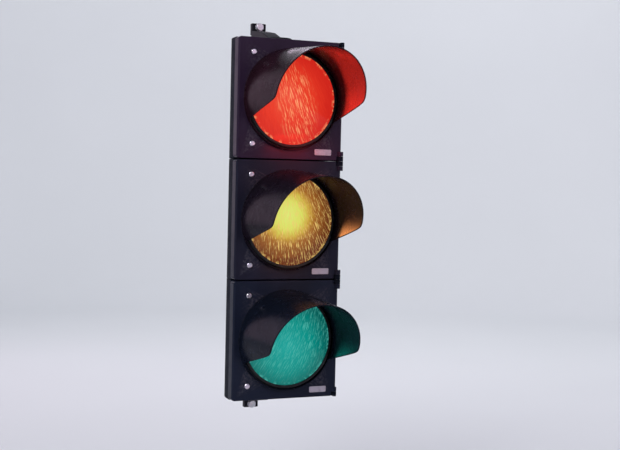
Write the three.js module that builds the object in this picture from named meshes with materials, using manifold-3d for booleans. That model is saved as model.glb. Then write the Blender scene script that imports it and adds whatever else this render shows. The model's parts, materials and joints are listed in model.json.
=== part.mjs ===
// A three-aspect traffic signal head on its two pole brackets: millimetres, +Z up, front towards -Y.
// The origin is on the axis of the pole that carries the brackets, at the height of the middle lens.
// Inside the head, y is the depth behind the front plane of the doors.

import * as THREE from 'three';
import { mergeVertices } from 'three/addons/utils/BufferGeometryUtils.js';
import Module from 'manifold-3d';

const wasm = await Module();
wasm.setup();

// Driving dimensions
const SECTION_PITCH = 270;
const POLE_RADIUS = 44.5;
const POLE_DEPTH = 262;            // door front plane to pole axis
const GAP = 0.3;                   // clearance between touching pieces
const PINCH = 0.4;                 // clearance beside a moving piece

const DOOR = { width: 254, height: 267.2, depth: 24, plate: 4, wall: 3.5, corner: 7 };
const LEDGE = { left: -118, right: 110, z: 124.5, depth: 20 };
const LENS_HOLE_RADIUS = 100;
const SEAL_WIDTH = 5;
const SEAL_RIGHT = 115;

const HOUSING = { front: 24.8, back: 126, rimHalf: 125, half: 123.5, bend: 42, height: 269.2, wall: 3 };
const HOUSING_CORNER = { x: 76, y: 84 };       // semi-axes of the rounded rear corners
const RIM = { back: 28, left: -112, right: 106, z: 119, corner: 10 };
const KEY_PLATE = { x: -78, z: 88 };           // rim corners that carry the latch keyholes

const HINGE = { x: 124.5, y: 2, pin: 2.5, bore: 2.65 };
const HINGE_NOTCH = { x: 115.5, z: 124 };
const KNUCKLE = { inner: 113.4, doorEnd: 123.8, armStart: 124.2, armEnd: 134 };
const JUNCTION_RADIUS = 7.5;       // hinge barrels where two sections meet
const END_RADIUS = 4.4;            // slim barrels at the top and bottom of the head
const ARM_LEFT = 120.5;

const LATCH = {
  x: -91.3, z: 101, head: 6.2, face: -3.2, chamfer: 1, shank: 3.4, slotDepth: 1.2, slotWidth: 2,
  wingLength: 15, wing: 3.2,
};
const BADGE = { x: 80.5, z: -116, width: 41, height: 13.6, thickness: 0.8 };

const VISOR = { base: 114, taper: 0.062, wall: 2.4, collar: 12, tip: 164.5, tipZ: -9.2 };
const VISOR_SLOPE = { lower: 0.249, rim: 0.397, tipRound: 16 };
const VISOR_REACH = 215;
const GASKET = { outer: 109.8, seat: 104.3, lip: 101.5, inner: 99, front: -11.5, middle: -9.3, rear: -4.7 };
const LENS = { radius: 103.9, edgeFront: -9, edgeBack: -5, sagitta: 12, thickness: 3 };
const REFLECTOR = { mouth: 99, front: 4.4, focus: 30, wall: 1.5, flange: 108, neck: 21, neckEnd: 90 };
const HOLDER = { radius: 20.4, front: 80, flange: 27, flangeBack: 94, cup: 22, back: 112 };
const SOCKET = { radius: 13.8, depth: 102 };
const LAMP = { glass: 26, centre: 53, neck: 12, base: 13.4 };

const HUB = { y: 80, bore: 20.5, tube: 20, cable: 15, flange: 29, boss: 33, bossHeight: 2.4 };
const ROSETTE = { radius: 30, height: 1.6 };
const THREAD_END = 14;             // how far a coupling tube reaches below the joint of two sections
const RING_NUT_HEIGHT = 6;
const FLANGE_HEIGHT = 4;
const GROMMET = { inner: 9, low: -6, high: 2 };
const TERMINALS = { half: 40, z: 14, deep: 26, shallow: 18, step: 7, pitch: 10, hole: 2.6, drop: -90 };
const BRACKET = { half: 17.5, hub: 30, hubTop: 8.6, front: 208, back: 226, top: 57, bottom: 4, wall: 5.5 };
const HUB_BORE_TOP = BRACKET.hubTop - 2.4;
const POLE_BOLT = { z: 48, radius: 5, flats: 16, head: 6.4, length: 35, washer: 10, washerHeight: 1.5 };

const LEVELS = { red: SECTION_PITCH, amber: 0, green: -SECTION_PITCH };
const LENS_COLOURS = { red: 0xd92b16, amber: 0xe8a21c, green: 0x0f9a86 };
const VISOR_SIDES = 36;
const LARGE_SIDES = 28;            // sides of shapes as wide as the lens
const REFLECTOR_SIDES = 20;
const POLE_SIDES = 36;
const HUB_SIDES = 16;
const SMALL_SIDES = 10;

// Materials
function material(color, roughness, metalness) {
  return new THREE.MeshStandardMaterial({ color, roughness, metalness });
}
const black = () => material(0x1d1a24, 0.38, 0);
const rubber = () => material(0x0d0d0f, 0.85, 0);
const steel = () => material(0xb9b7bd, 0.32, 1);
const castBlack = () => material(0x1b1a20, 0.5, 0);
const plate = () => material(0xbdb6c4, 0.45, 0.2);

// Geometry helpers: every piece is merged into one closed mesh with its faces pointing out
function signedVolume(geometry) {
  const p = geometry.attributes.position;
  const index = geometry.index.array;
  const [a, b, c] = [new THREE.Vector3(), new THREE.Vector3(), new THREE.Vector3()];
  let sum = 0;
  for (let i = 0; i < index.length; i += 3) {
    a.fromBufferAttribute(p, index[i]);
    b.fromBufferAttribute(p, index[i + 1]);
    c.fromBufferAttribute(p, index[i + 2]);
    sum += a.dot(b.cross(c));
  }
  return sum / 6;
}

function closed(geometry) {
  geometry.deleteAttribute('normal');
  geometry.deleteAttribute('uv');
  const merged = mergeVertices(geometry, 1e-4);
  const kept = [];
  const index = merged.index.array;
  for (let i = 0; i < index.length; i += 3) {
    const [a, b, c] = [index[i], index[i + 1], index[i + 2]];
    if (a !== b && b !== c && c !== a) kept.push(a, b, c);
  }
  merged.setIndex(kept);
  if (signedVolume(merged) < 0) merged.setIndex(kept.reverse());
  return merged;
}

function solid(geometry) {
  const g = closed(geometry);
  const vertProperties = new Float32Array(g.attributes.position.array);
  const triVerts = new Uint32Array(g.index.array);
  return new wasm.Manifold(new wasm.Mesh({ numProp: 3, vertProperties, triVerts }));
}

function geometryOf(manifold) {
  const mesh = manifold.getMesh();
  const geometry = new THREE.BufferGeometry();
  geometry.setAttribute('position', new THREE.BufferAttribute(new Float32Array(mesh.vertProperties), 3));
  geometry.setIndex(Array.from(mesh.triVerts));
  return geometry;
}

const X = new THREE.Vector3(1, 0, 0);
const Y = new THREE.Vector3(0, 1, 0);
const Z = new THREE.Vector3(0, 0, 1);

function extrude(shape, length, segments) {
  return new THREE.ExtrudeGeometry(shape, { depth: length, bevelEnabled: false, curveSegments: segments });
}

// A shape in (x, y) raised from z0 to z1
function extrudeZ(shape, z0, z1, segments = 8) {
  return solid(extrude(shape, z1 - z0, segments).translate(0, 0, z0));
}

// A shape in (y, z) run from x0 to x1
function extrudeX(shape, x0, x1, segments = 8) {
  const basis = new THREE.Matrix4().makeBasis(Y, Z, X);
  return solid(extrude(shape, x1 - x0, segments).applyMatrix4(basis).translate(x0, 0, 0));
}

// A shape in (x, z) run from y0 back to y1
function extrudeY(shape, y0, y1, segments = 8) {
  const basis = new THREE.Matrix4().makeBasis(X, Z, Y.clone().negate());
  return solid(extrude(shape, y1 - y0, segments).applyMatrix4(basis).translate(0, y1, 0));
}

function polygon(points) {
  return new THREE.Shape(points.map(([a, b]) => new THREE.Vector2(a, b)));
}

function rectangle(a0, a1, b0, b1) {
  return polygon([[a0, b0], [a1, b0], [a1, b1], [a0, b1]]);
}

function roundedRectangle(a0, a1, b0, b1, r) {
  const shape = new THREE.Shape();
  shape.moveTo(a0 + r, b0);
  shape.absarc(a1 - r, b0 + r, r, -Math.PI / 2, 0);
  shape.absarc(a1 - r, b1 - r, r, 0, Math.PI / 2);
  shape.absarc(a0 + r, b1 - r, r, Math.PI / 2, Math.PI);
  shape.absarc(a0 + r, b0 + r, r, Math.PI, Math.PI * 1.5);
  return shape;
}

function box(x0, x1, y0, y1, z0, z1) {
  return solid(new THREE.BoxGeometry(x1 - x0, y1 - y0, z1 - z0)
    .translate((x0 + x1) / 2, (y0 + y1) / 2, (z0 + z1) / 2));
}

// Turned about the y axis; a profile lists [radius, y]
function turned(profile, sides = LARGE_SIDES) {
  return solid(new THREE.LatheGeometry(profile.map(([r, y]) => new THREE.Vector2(r, y)), sides));
}

function cylinderY(radius, y0, y1, x, z, sides = SMALL_SIDES) {
  return solid(new THREE.CylinderGeometry(radius, radius, y1 - y0, sides).translate(x, (y0 + y1) / 2, z));
}

function cylinderZ(radius, z0, z1, x, y, sides = HUB_SIDES) {
  return solid(new THREE.CylinderGeometry(radius, radius, z1 - z0, sides)
    .rotateX(Math.PI / 2).translate(x, y, (z0 + z1) / 2));
}

function tubeZ(outer, inner, z0, z1, x, y) {
  return cylinderZ(outer, z0, z1, x, y).subtract(cylinderZ(inner, z0 - 1, z1 + 1, x, y));
}

// The two ends of a section, upper first: the side it is on and the radius of its hinge barrel
function sectionEnds(name) {
  return [
    { side: 1, label: 'upper', radius: name === 'red' ? END_RADIUS : JUNCTION_RADIUS },
    { side: -1, label: 'lower', radius: name === 'green' ? END_RADIUS : JUNCTION_RADIUS },
  ];
}

function spanZ(side, inner, outer) {
  return side > 0 ? [inner, outer] : [-outer, -inner];
}

// Housing: an open-fronted box with a bowed back, a rim for the door seal and hinge arms on the right
function housingOutline(inset) {
  const shape = new THREE.Shape();
  const cornerX = HOUSING.half - HOUSING_CORNER.x;
  const rx = HOUSING_CORNER.x - inset;
  const ry = HOUSING_CORNER.y - inset;
  shape.moveTo(-HOUSING.rimHalf + inset, HOUSING.front);
  shape.lineTo(HOUSING.rimHalf - inset, HOUSING.front);
  shape.lineTo(HOUSING.half - inset, HOUSING.bend);
  shape.absellipse(cornerX, HOUSING.bend, rx, ry, 0, Math.PI / 2);
  shape.absellipse(-cornerX, HOUSING.bend, rx, ry, Math.PI / 2, Math.PI);
  return shape;
}

function rimOpening() {
  const middle = roundedRectangle(RIM.left, RIM.right, -RIM.z, RIM.z, RIM.corner);
  let opening = extrudeY(middle, HOUSING.front - 1, RIM.back + 1, 2);
  for (const side of [1, -1]) {
    const [z0, z1] = spanZ(side, KEY_PLATE.z, RIM.z + 1);
    opening = opening.subtract(box(RIM.left - 1, KEY_PLATE.x, 0, RIM.back + 2, z0, z1));
  }
  return opening;
}

function keyhole(side) {
  const z = side * LATCH.z;
  const slotHalf = LATCH.wingLength / 2 + 1.8;
  const hole = cylinderY(LATCH.shank + 1.2, HOUSING.front - 1, RIM.back + 1, LATCH.x, z);
  const halfWidth = LATCH.wing / 2 + 1;
  return hole.add(box(LATCH.x - slotHalf, LATCH.x + slotHalf,
    HOUSING.front - 1, RIM.back + 1, z - halfWidth, z + halfWidth));
}

function hingeArm({ side, radius }) {
  const [z0, z1] = spanZ(side, KNUCKLE.armStart, KNUCKLE.armEnd);
  const arm = box(ARM_LEFT, HINGE.x + radius, HINGE.y, HOUSING.bend + 2, z0, z1);
  const barrel = cylinderZ(radius, z0, z1, HINGE.x, HINGE.y, HUB_SIDES);
  return arm.add(barrel);
}

function housing(name) {
  const half = HOUSING.height / 2;
  const inside = half - HOUSING.wall;
  let body = extrudeZ(housingOutline(0), -half, half, 5);
  const cavity = extrudeZ(housingOutline(HOUSING.wall), -inside, inside, 5);
  body = body.subtract(cavity.subtract(box(-200, 200, 0, RIM.back, -200, 200)));
  body = body.subtract(rimOpening());
  for (const end of sectionEnds(name)) {
    const [b0, b1] = spanZ(end.side, inside - HUB.bossHeight, inside + 1);
    const [h0, h1] = spanZ(end.side, inside - HUB.bossHeight - 1, half + 1);
    const [p0, p1] = spanZ(end.side, KNUCKLE.armStart - 1, KNUCKLE.armEnd + 1);
    body = body.add(cylinderZ(HUB.boss, b0, b1, 0, HUB.y));
    body = body.add(hingeArm(end));
    body = body.subtract(cylinderZ(HUB.bore, h0, h1, 0, HUB.y));
    body = body.subtract(cylinderZ(HINGE.bore, p0, p1, HINGE.x, HINGE.y, SMALL_SIDES));
    body = body.subtract(keyhole(end.side));
  }
  return body;
}

// Door: a flat front with a rim skirt, a ledge for the seal, hinge barrels and the lens opening
function door(name) {
  const w = DOOR.width / 2;
  const h = DOOR.height / 2;
  const outline = roundedRectangle(-w, w, -h, h, DOOR.corner);
  let body = extrudeY(outline, 0, DOOR.depth, 3);
  body = body.subtract(box(LEDGE.left, LEDGE.right, DOOR.plate, DOOR.depth + 1, -LEDGE.z, LEDGE.z));
  const rebate = w - DOOR.wall;
  const rebateZ = h - DOOR.wall;
  const rebateRight = SEAL_RIGHT + PINCH;
  body = body.subtract(box(-rebate, rebateRight, LEDGE.depth, DOOR.depth + 1, -rebateZ, rebateZ));
  for (const { side, radius } of sectionEnds(name)) {
    const [n0, n1] = spanZ(side, HINGE_NOTCH.z, h + 1);
    const [k0, k1] = spanZ(side, KNUCKLE.inner, KNUCKLE.doorEnd);
    body = body.subtract(box(HINGE_NOTCH.x, w + 1, -1, DOOR.depth + 1, n0, n1));
    body = body.add(cylinderZ(radius, k0, k1, HINGE.x, HINGE.y, HUB_SIDES));
    body = body.subtract(cylinderZ(HINGE.bore, k0 - 2, k1 + 2, HINGE.x, HINGE.y, SMALL_SIDES));
    body = body.subtract(cylinderY(LATCH.shank + 0.5, -1, DOOR.plate + 1, LATCH.x, side * LATCH.z));
  }
  return body.subtract(cylinderY(LENS_HOLE_RADIUS, -1, DOOR.plate + 1, 0, 0, LARGE_SIDES));
}

function doorSeal() {
  const left = DOOR.width / 2 - DOOR.wall - PINCH;
  const z = DOOR.height / 2 - DOOR.wall - PINCH;
  const y0 = LEDGE.depth + GAP;
  const y1 = HOUSING.front - GAP;
  const outer = extrudeY(roundedRectangle(-left, SEAL_RIGHT, -z, z, 6), y0, y1, 2);
  const w = SEAL_WIDTH;
  const hole = roundedRectangle(w - left, SEAL_RIGHT - w, w - z, z - w, 2);
  return outer.subtract(extrudeY(hole, y0 - 1, y1 + 1, 2));
}

// Visor: a tapered hood, open below, on a full collar round the lens
function visorSilhouette() {
  const lowerAt = (y) => VISOR.tipZ - (y + VISOR.tip) * VISOR_SLOPE.lower;
  const tipY = -VISOR.tip;
  const top = VISOR.base + 10;
  const rimTopY = tipY - (top - VISOR.tipZ) * VISOR_SLOPE.rim;
  const r = VISOR_SLOPE.tipRound;
  const rimLength = Math.hypot(1, VISOR_SLOPE.rim);
  const lowerLength = Math.hypot(1, VISOR_SLOPE.lower);
  const shape = new THREE.Shape();
  shape.moveTo(0, lowerAt(0));
  shape.lineTo(tipY + r / lowerLength, VISOR.tipZ - r * VISOR_SLOPE.lower / lowerLength);
  shape.quadraticCurveTo(
    tipY, VISOR.tipZ,
    tipY - r * VISOR_SLOPE.rim / rimLength, VISOR.tipZ + r / rimLength,
  );
  shape.lineTo(rimTopY, top);
  shape.lineTo(0, top);
  return shape;
}

function visor() {
  const outerAt = (y) => VISOR.base + y * VISOR.taper;
  const start = -GAP;
  const end = -VISOR_REACH;
  const shell = turned([
    [outerAt(start) - VISOR.wall, start],
    [outerAt(start), start],
    [outerAt(end), end],
    [outerAt(end) - VISOR.wall, end],
    [outerAt(start) - VISOR.wall, start],
  ], VISOR_SIDES);
  const hood = shell.intersect(extrudeX(visorSilhouette(), -130, 130, 5));
  const collar = shell.intersect(box(-130, 130, -VISOR.collar, 0, -130, 130));
  return hood.add(collar);
}

// Gasket: a rubber ring in front of the door that grips the edge of the lens
function lensGasket() {
  return turned([
    [GASKET.inner, -GAP],
    [GASKET.outer, -GAP],
    [GASKET.outer, GASKET.front],
    [GASKET.lip, GASKET.front],
    [GASKET.lip, GASKET.middle],
    [GASKET.seat, GASKET.middle],
    [GASKET.seat, GASKET.rear],
    [GASKET.inner, GASKET.rear],
    [GASKET.inner, -GAP],
  ]);
}

function lens() {
  const rings = 2;
  const domeAt = (r, sagitta) => LENS.edgeFront - sagitta * (1 - (r / GASKET.lip) ** 2);
  const inner = GASKET.inner - 1;
  const profile = [];
  for (let i = 0; i <= rings; i++) {
    const r = (i / rings) * (GASKET.lip - 1);
    profile.push([r, domeAt(r, LENS.sagitta)]);
  }
  profile.push([LENS.radius, LENS.edgeFront], [LENS.radius, LENS.edgeBack], [inner, LENS.edgeBack]);
  for (let i = rings; i >= 0; i--) {
    const r = (i / rings) * (inner - 1);
    profile.push([r, domeAt(r, LENS.sagitta) + LENS.thickness]);
  }
  return turned(profile);
}

// Reflector: a parabolic bowl behind the door, with a neck for the lamp holder
function reflector() {
  const vertex = REFLECTOR.front + REFLECTOR.mouth ** 2 / (4 * REFLECTOR.focus);
  const bowlAt = (r) => vertex - r ** 2 / (4 * REFLECTOR.focus);
  const steps = 3;
  const inner = [];
  for (let i = 0; i <= steps; i++) {
    const r = REFLECTOR.mouth + (i / steps) * (REFLECTOR.neck - REFLECTOR.mouth);
    inner.push([r, bowlAt(r)]);
  }
  const outer = inner.map(([r, y]) => [r + REFLECTOR.wall, y + REFLECTOR.wall]).reverse();
  return turned([
    ...inner,
    [REFLECTOR.neck, REFLECTOR.neckEnd],
    [REFLECTOR.neck + REFLECTOR.wall, REFLECTOR.neckEnd],
    ...outer,
    [REFLECTOR.flange, REFLECTOR.front + REFLECTOR.wall],
    [REFLECTOR.flange, REFLECTOR.front],
    inner[0],
  ], REFLECTOR_SIDES);
}

function lampHolder() {
  const body = turned([
    [0, HOLDER.back],
    [0, SOCKET.depth],
    [SOCKET.radius, SOCKET.depth],
    [SOCKET.radius, HOLDER.front],
    [HOLDER.radius, HOLDER.front],
    [HOLDER.radius, REFLECTOR.neckEnd + GAP],
    [HOLDER.flange, REFLECTOR.neckEnd + GAP],
    [HOLDER.flange, HOLDER.flangeBack],
    [HOLDER.cup, HOLDER.flangeBack],
    [HOLDER.cup, HOLDER.back],
    [0, HOLDER.back],
  ], HUB_SIDES);
  const grip = box(-HOLDER.flange, HOLDER.flange, SOCKET.depth + 1, HOLDER.back - 1, -3, 3);
  return body.add(grip);
}

function lamp() {
  const steps = 4;
  const profile = [];
  for (let i = 0; i <= steps; i++) {
    const angle = (i / steps) * Math.PI * 0.82;
    profile.push([LAMP.glass * Math.sin(angle), LAMP.centre - LAMP.glass * Math.cos(angle)]);
  }
  const base = HOLDER.front - 2;
  profile.push([LAMP.neck, base], [LAMP.base, base]);
  profile.push([LAMP.base, SOCKET.depth - GAP], [0, SOCKET.depth - GAP]);
  return turned(profile, HUB_SIDES);
}

// Latch: a slotted stud with a wing behind the keyhole plate, about its own axis
function latch() {
  const { head, face, chamfer, shank, slotDepth, slotWidth, wing, wingLength } = LATCH;
  const wingFront = RIM.back + PINCH;
  const wingBack = wingFront + wing;
  const stud = turned([
    [0, face],
    [head - chamfer, face],
    [head, face + chamfer],
    [head, -GAP],
    [shank, -GAP],
    [shank, wingBack],
    [0, wingBack],
  ], SMALL_SIDES);
  const slot = box(-head - 1, head + 1, face - 1, face + slotDepth, -slotWidth / 2, slotWidth / 2);
  const bar = box(-wingLength / 2, wingLength / 2, wingFront, wingBack, -wing / 2, wing / 2);
  return stud.subtract(slot).add(bar);
}

function hingePin(side) {
  const [z0, z1] = spanZ(side, KNUCKLE.inner + 0.6, KNUCKLE.armEnd + 0.2);
  return cylinderZ(HINGE.pin, z0, z1, HINGE.x, HINGE.y, SMALL_SIDES);
}

function badgePlate() {
  const { x, z, width, height, thickness } = BADGE;
  const outline = roundedRectangle(x - width / 2, x + width / 2, z - height / 2, z + height / 2, 2);
  return extrudeY(outline, -GAP - thickness, -GAP, 2);
}

// Couplings between two sections: a hollow flanged nipple from above and a ring nut from below
function nipple() {
  const top = (SECTION_PITCH - HOUSING.height) / 2 + HOUSING.wall + HUB.bossHeight + GAP;
  const flange = cylinderZ(HUB.flange, top, top + FLANGE_HEIGHT, 0, HUB.y);
  const tube = cylinderZ(HUB.tube, -THREAD_END, top + 1, 0, HUB.y);
  return flange.add(tube).subtract(cylinderZ(HUB.cable, -THREAD_END - 1, top + FLANGE_HEIGHT + 1, 0, HUB.y));
}

function ringNut() {
  const top = -((SECTION_PITCH - HOUSING.height) / 2 + HOUSING.wall + HUB.bossHeight + GAP);
  const nut = cylinderZ(HUB.flange, top - RING_NUT_HEIGHT, top, 0, HUB.y, 6);
  return nut.subtract(cylinderZ(HUB.tube + GAP, top - RING_NUT_HEIGHT - 1, top + 1, 0, HUB.y));
}

// Pole bracket parts, in a frame whose z is the height above the end wall of the head
function bracketProfile() {
  const { hub, hubTop, front, back, top, bottom } = BRACKET;
  const start = GAP * 2 + ROSETTE.height;
  return polygon([
    [HUB.y - hub, start], [HUB.y + hub + 4, start], [front - 6, bottom], [back, bottom],
    [back, top], [front, top], [front, 38], [front - 9, 38], [184, 36],
    [145, 29], [123, 20.5], [95, hubTop], [HUB.y - hub, hubTop],
  ]);
}

function channelProfile() {
  const { front, wall } = BRACKET;
  return polygon([
    [HUB.y, -5], [front - wall, -5], [front - wall, 32], [184, 29], [145, 22], [123, 13.5], [HUB.y, 6],
  ]);
}

function bracket() {
  const { half, hub, back, top, wall } = BRACKET;
  const plan = extrudeZ(rectangle(-half, half, HUB.y, back + 1), 0, top + 1);
  let body = plan.add(cylinderZ(hub, 0, top + 1, 0, HUB.y));
  body = body.intersect(extrudeX(bracketProfile(), -hub - 1, hub + 1));
  body = body.subtract(extrudeX(channelProfile(), wall - half, half - wall));
  body = body.subtract(cylinderZ(HUB.bore, -1, HUB_BORE_TOP, 0, HUB.y));
  body = body.subtract(cylinderZ(POLE_RADIUS + GAP, -10, top + 10, 0, POLE_DEPTH, POLE_SIDES));
  return body.subtract(cylinderY(POLE_BOLT.radius + 0.5, BRACKET.front - 9, POLE_DEPTH, 0, POLE_BOLT.z));
}

function rosette() {
  return tubeZ(ROSETTE.radius, HUB.bore, GAP, GAP + ROSETTE.height, 0, HUB.y);
}

function hubBolt() {
  const under = -(HOUSING.wall + HUB.bossHeight + GAP);
  const tube = cylinderZ(HUB.tube, under - 1, HUB_BORE_TOP - PINCH, 0, HUB.y);
  const flange = cylinderZ(HUB.flange, under - FLANGE_HEIGHT, under, 0, HUB.y);
  return tube.add(flange).subtract(cylinderZ(HUB.cable, under - FLANGE_HEIGHT - 1, BRACKET.hubTop, 0, HUB.y));
}

function poleBolt() {
  const { z, radius, flats, head, length, washerHeight } = POLE_BOLT;
  const seat = BRACKET.front - GAP * 2 - washerHeight;
  const hex = solid(new THREE.CylinderGeometry(flats / Math.sqrt(3), flats / Math.sqrt(3), head, 6)
    .rotateY(Math.PI / 6).translate(0, seat - head / 2, z));
  return hex.add(cylinderY(radius, seat - 1, seat + length, 0, z));
}

function poleWasher() {
  const { z, radius, washer, washerHeight } = POLE_BOLT;
  const y1 = BRACKET.front - GAP;
  const y0 = y1 - washerHeight;
  const hole = cylinderY(radius + 0.5, y0 - 1, y1 + 1, 0, z, HUB_SIDES);
  return cylinderY(washer, y0, y1, 0, z, HUB_SIDES).subtract(hole);
}

function cableGrommet() {
  return tubeZ(HUB.cable - GAP, GROMMET.inner, GROMMET.low, GROMMET.high, 0, HUB.y);
}

function terminalBlock() {
  const back = HOUSING.back - HOUSING.wall - GAP;
  const { half, z, deep, shallow, step, pitch, hole } = TERMINALS;
  let body = box(-half, half, back - shallow, back, -z, z);
  body = body.add(box(-half, half, back - deep, back - shallow + 1, -step, step));
  for (let x = pitch / 2 - half; x < half; x += pitch) {
    body = body.subtract(cylinderY(hole, back - deep - 1, back - deep + 5, x, 0));
  }
  return body;
}

// Assembly
const signalHead = new THREE.Group();
const head = new THREE.Group();
head.position.y = -POLE_DEPTH;
signalHead.add(head);

function addTo(group, name, manifold, look) {
  const mesh = new THREE.Mesh(geometryOf(manifold), look);
  mesh.name = name;
  group.add(mesh);
  return mesh;
}

function addSection(name) {
  const section = new THREE.Group();
  section.position.z = LEVELS[name];
  head.add(section);
  addTo(section, `housing_${name}`, housing(name), black());
  addTo(section, `door_${name}`, door(name), black());
  addTo(section, `door_seal_${name}`, doorSeal(), rubber());
  addTo(section, `visor_${name}`, visor(), black());
  addTo(section, `lens_gasket_${name}`, lensGasket(), rubber());
  addTo(section, `lens_${name}`, lens(), material(LENS_COLOURS[name], 0.15, 0));
  addTo(section, `reflector_${name}`, reflector(), material(0xd8d8dc, 0.12, 1));
  addTo(section, `lamp_holder_${name}`, lampHolder(), material(0xe7e2d6, 0.5, 0));
  addTo(section, `lamp_${name}`, lamp(), material(0xf4efe2, 0.08, 0));
  addTo(section, `badge_plate_${name}`, badgePlate(), plate());
  for (const { side, label } of sectionEnds(name)) {
    addTo(section, `hinge_pin_${name}_${label}`, hingePin(side), steel());
    const stud = addTo(section, `latch_${name}_${label}`, latch(), steel());
    stud.position.set(LATCH.x, 0, side * LATCH.z);
  }
}

function addCoupling(label, z) {
  const joint = new THREE.Group();
  joint.position.z = z;
  head.add(joint);
  addTo(joint, `coupling_nipple_${label}`, nipple(), castBlack());
  addTo(joint, `coupling_nut_${label}`, ringNut(), steel());
}

// The lower bracket is the upper one turned half way round the y axis
function addBracket(label, side) {
  const end = new THREE.Group();
  end.position.z = side * (SECTION_PITCH + HOUSING.height / 2);
  end.rotation.y = side > 0 ? 0 : Math.PI;
  head.add(end);
  addTo(end, `${label}_bracket`, bracket(), castBlack());
  addTo(end, `${label}_rosette`, rosette(), steel());
  addTo(end, `${label}_hub_bolt`, hubBolt(), castBlack());
  addTo(end, `${label}_pole_bolt`, poleBolt(), steel());
  addTo(end, `${label}_pole_washer`, poleWasher(), steel());
  return end;
}

for (const name of Object.keys(LEVELS)) addSection(name);
addCoupling('upper', SECTION_PITCH / 2);
addCoupling('lower', -SECTION_PITCH / 2);
addBracket('upper', 1);
const lowerEnd = addBracket('lower', -1);
addTo(lowerEnd, 'cable_grommet', cableGrommet(), rubber());
const terminals = addTo(head, 'terminal_block', terminalBlock(), material(0xd9d4c4, 0.55, 0));
terminals.position.z = LEVELS.green + TERMINALS.drop;

export default signalHead;
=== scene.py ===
import json
import math
from math import atan2, cos, hypot, pi, radians, sin, sqrt
from types import SimpleNamespace as Sizes

import bmesh
import bpy
from mathutils import Matrix, Vector

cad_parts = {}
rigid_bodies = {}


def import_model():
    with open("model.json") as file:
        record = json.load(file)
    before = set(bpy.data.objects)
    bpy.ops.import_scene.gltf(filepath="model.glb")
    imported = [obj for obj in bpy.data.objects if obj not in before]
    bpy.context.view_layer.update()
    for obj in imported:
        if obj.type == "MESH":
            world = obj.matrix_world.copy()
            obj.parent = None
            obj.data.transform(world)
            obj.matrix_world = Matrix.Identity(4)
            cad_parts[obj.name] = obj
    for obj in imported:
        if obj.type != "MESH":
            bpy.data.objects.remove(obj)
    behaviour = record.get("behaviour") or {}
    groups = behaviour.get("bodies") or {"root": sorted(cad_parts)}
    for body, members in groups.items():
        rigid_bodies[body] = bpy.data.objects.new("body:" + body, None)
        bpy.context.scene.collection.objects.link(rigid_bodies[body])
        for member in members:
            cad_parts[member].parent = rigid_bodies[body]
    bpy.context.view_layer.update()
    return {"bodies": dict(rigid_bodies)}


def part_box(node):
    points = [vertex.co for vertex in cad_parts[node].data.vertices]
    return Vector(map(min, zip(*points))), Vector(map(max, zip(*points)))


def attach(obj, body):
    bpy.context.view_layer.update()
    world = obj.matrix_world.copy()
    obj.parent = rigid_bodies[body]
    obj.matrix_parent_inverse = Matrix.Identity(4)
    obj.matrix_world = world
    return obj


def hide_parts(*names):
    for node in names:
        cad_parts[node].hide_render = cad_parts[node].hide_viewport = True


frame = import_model()

# Shapes are built in millimetres: x to the right, y the depth behind the front plane of the doors,
# z the height from the middle of a section. They are turned into metres in the row frame on the way out.
MM = 0.001
SECTION_PITCH = 270
POLE_RADIUS = 44.5
POLE_DEPTH = 262
GAP = 0.3

DOOR = Sizes(half=127, top=133.6, depth=24, plate=4, wall=3.5, corner=7)
DOOR_EDGES = Sizes(front=1.4, side=4.8, back=0.5, notch=0.6)
NOTCH = Sizes(x=115.5, z=124)
LEDGE = Sizes(left=-118, right=106, z=124.5, depth=20)
REBATE_RIGHT = 112.3
SEAL = Sizes(play=0.4, width=5, groove=(1.8, 3.2))
LENS_HOLE = 100
LENS_FLANGE = Sizes(width=5, front=3, back=7)

HOUSING = Sizes(front=24.8, back=126, rim_half=125, half=123.5, bend=42, top=134.6, wall=3)
HOUSING_CORNER = (76, 84)
RIM = Sizes(back=28, left=-112, right=106, z=119)
KEY_PLATE = (-78, 88)
RIB = Sizes(x=46, half=1.2, depth=7, end=22)
HINGE = Sizes(x=124.5, y=2, pin=2.5, bore=2.65)
HINGE_AXIS = (HINGE.x, HINGE.y)
KNUCKLE = Sizes(inner=113.4, door_end=123.8, arm_start=124.2, arm_end=134.8)
JUNCTION_RADIUS = 7.5
END_RADIUS = 4.4
ARM_LEFT = 120.5

LATCH = Sizes(x=-91.3, z=101, head=6.2, face=-3.2, shank=3.4, wing=3.2, wing_length=15)
BADGE = Sizes(x=80.5, z=-116, width=41, height=13.6, thickness=0.8, border=1.4, pin_inset=4)
VISOR = Sizes(base=114, taper=0.062, wall=2.4, collar=12, tip=164.5, tip_z=-9.2)
VISOR_LOWER = 0.249
VISOR_RIM = 0.397
VISOR_TIP_ROUND = 9
VISOR_NOSE = 0.42
VISOR_BEAD = 0.25
VISOR_LIP = Sizes(height=0.24, depth=-4.5, half=2.5)
GASKET = Sizes(
    outer=109.8, seat=104.3, lip=101.5, inner=99,
    front=-11.5, middle=-9.3, rear=-4.7, step=-6.4, groove=-7.2,
)
LENS = Sizes(radius=103.9, front=-9, back=-5, sagitta=12, thickness=3)
REFLECTOR = Sizes(mouth=99, front=4.4, focus=30, wall=1.5, flange=108, neck=21, neck_end=90)
HOLDER = Sizes(radius=20.4, front=80, flange=27, flange_back=94, cup=22, back=112)
SOCKET = Sizes(radius=13.8, depth=102)
KNURLS = 28
LAMP = Sizes(glass=26, centre=53, neck=12, base=13.4)
HUB = Sizes(y=80, bore=20.5, tube=20, cable=15, flange=29, boss=33, boss_height=2.4)
HUB_CENTRE = (0, HUB.y)
NIPPLE_REACH = 14
ROSETTE = Sizes(radius=30, height=1.6, teeth=60, tooth=0.45)
GROMMET = Sizes(hole=9, groove=13.4)
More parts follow.
